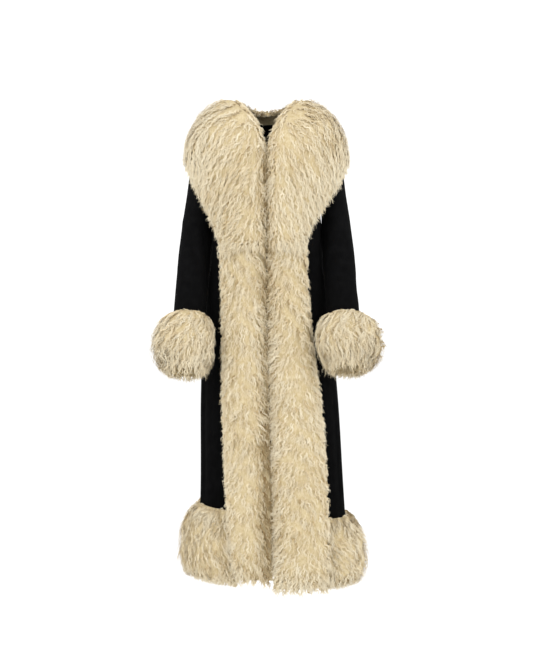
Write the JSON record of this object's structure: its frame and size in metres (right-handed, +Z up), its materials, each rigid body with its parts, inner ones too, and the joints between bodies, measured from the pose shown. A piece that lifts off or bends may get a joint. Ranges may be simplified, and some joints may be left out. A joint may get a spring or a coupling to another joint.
{
  "type": "fur-trimmed long coat",
  "caption": "Full-length black wool coat in its worn, hollow form, with a shawl collar, front bands, cuffs and hem of long curly cream fur.",
  "frame": {"origin": "middle of the neck at the level of the collarbones, where the shoulders carry the coat", "axes": "+Z up, the front faces -Y, and the coat's own left is +X"},
  "size_m": [0.6888, 0.5044, 1.4527],
  "materials": {
    "black_wool": "matte black wool with a soft, short nap",
    "cream_fur": "long, curly cream lamb fur in loose locks"
  },
  "bodies": {
    "root": {"back": "black_wool", "front_left": "black_wool", "front_right": "black_wool", "sleeve_left": "black_wool", "sleeve_right": "black_wool", "fur_collar": "cream_fur", "fur_front_left": "cream_fur", "fur_front_right": "cream_fur", "fur_cuff_left": "cream_fur", "fur_cuff_right": "cream_fur", "fur_hem": "cream_fur"}
  },
  "joints": []
}
